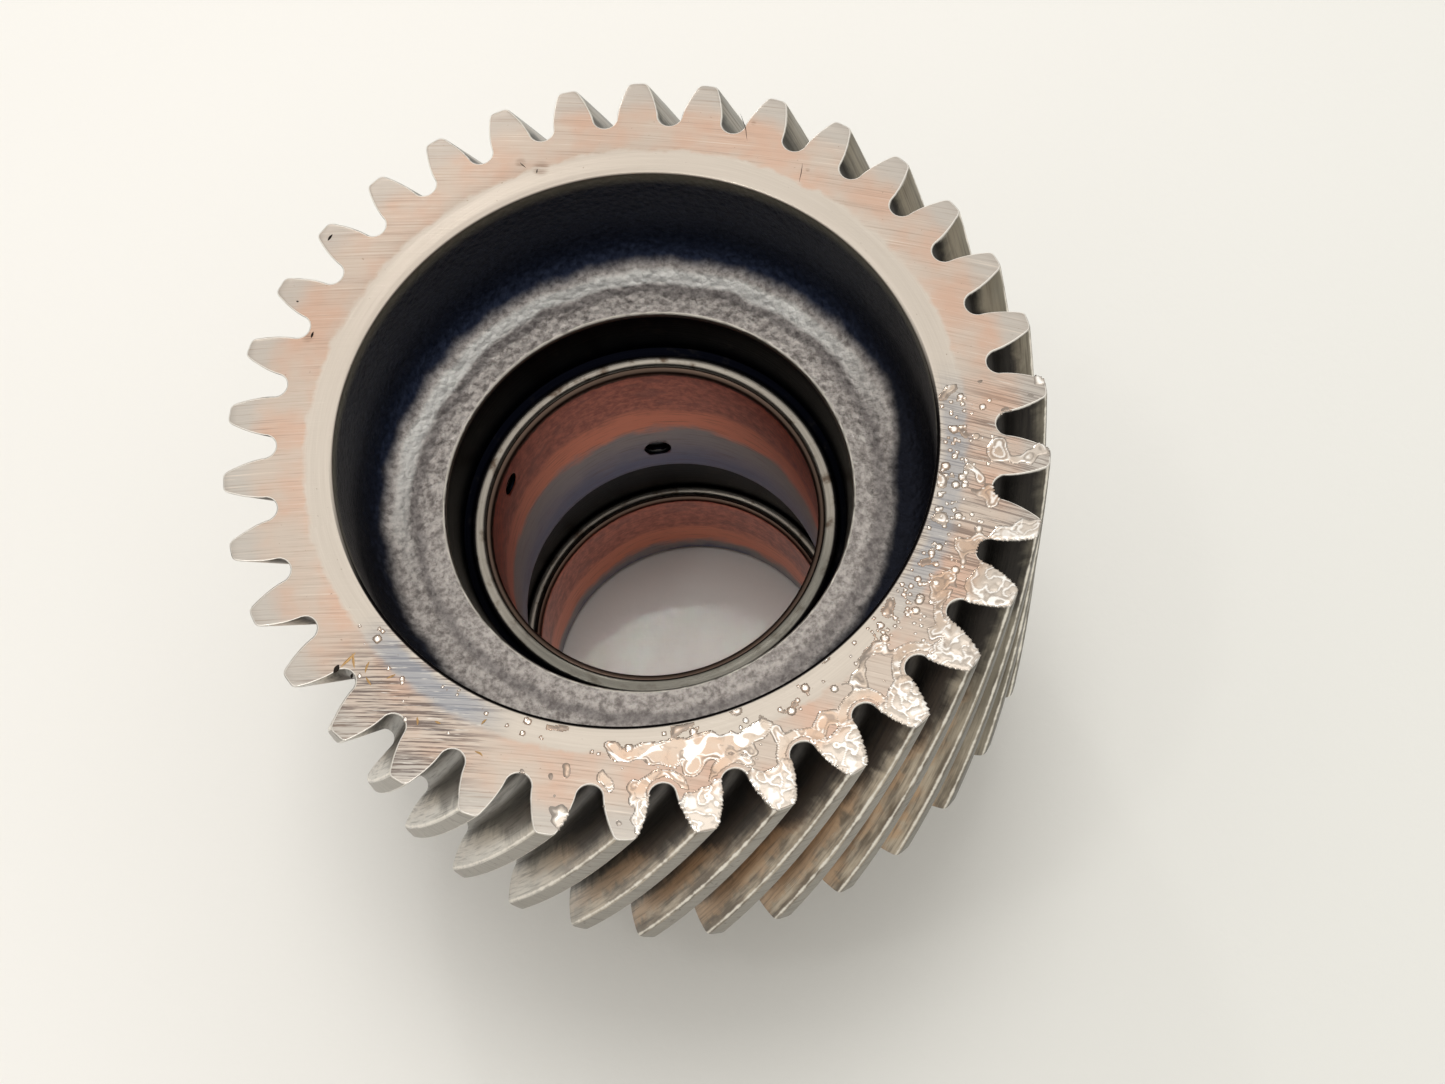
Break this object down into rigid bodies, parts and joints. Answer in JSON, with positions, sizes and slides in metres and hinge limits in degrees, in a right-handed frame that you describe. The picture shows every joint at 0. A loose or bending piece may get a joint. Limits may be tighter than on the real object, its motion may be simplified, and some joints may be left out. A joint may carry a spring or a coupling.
{
  "type": "bushed helical gear",
  "caption": "Right-hand helical gear with a deep front recess, a forged web, a long rear hub and lined bushes in its bore.",
  "frame": {"origin": "on the gear's axis, in the end face of the rear hub, which the gear stands on", "axes": "+Z along the gear's axis, out of the recessed front face; +X through the middle of one tooth in the front face"},
  "size_m": [0.078, 0.078, 0.07],
  "materials": {
    "gear_steel": "ground front face, hobbed teeth, as-forged dark web, oily",
    "shell_steel": "bright turned edge",
    "lining_bronze": "worn copper-coloured bearing lining, satin, banded"
  },
  "bodies": {
    "root": {"gear_body": "gear_steel", "front_bush_shell": "shell_steel", "front_bush_lining": "lining_bronze", "rear_bush_shell": "shell_steel", "rear_bush_lining": "lining_bronze"}
  },
  "joints": []
}
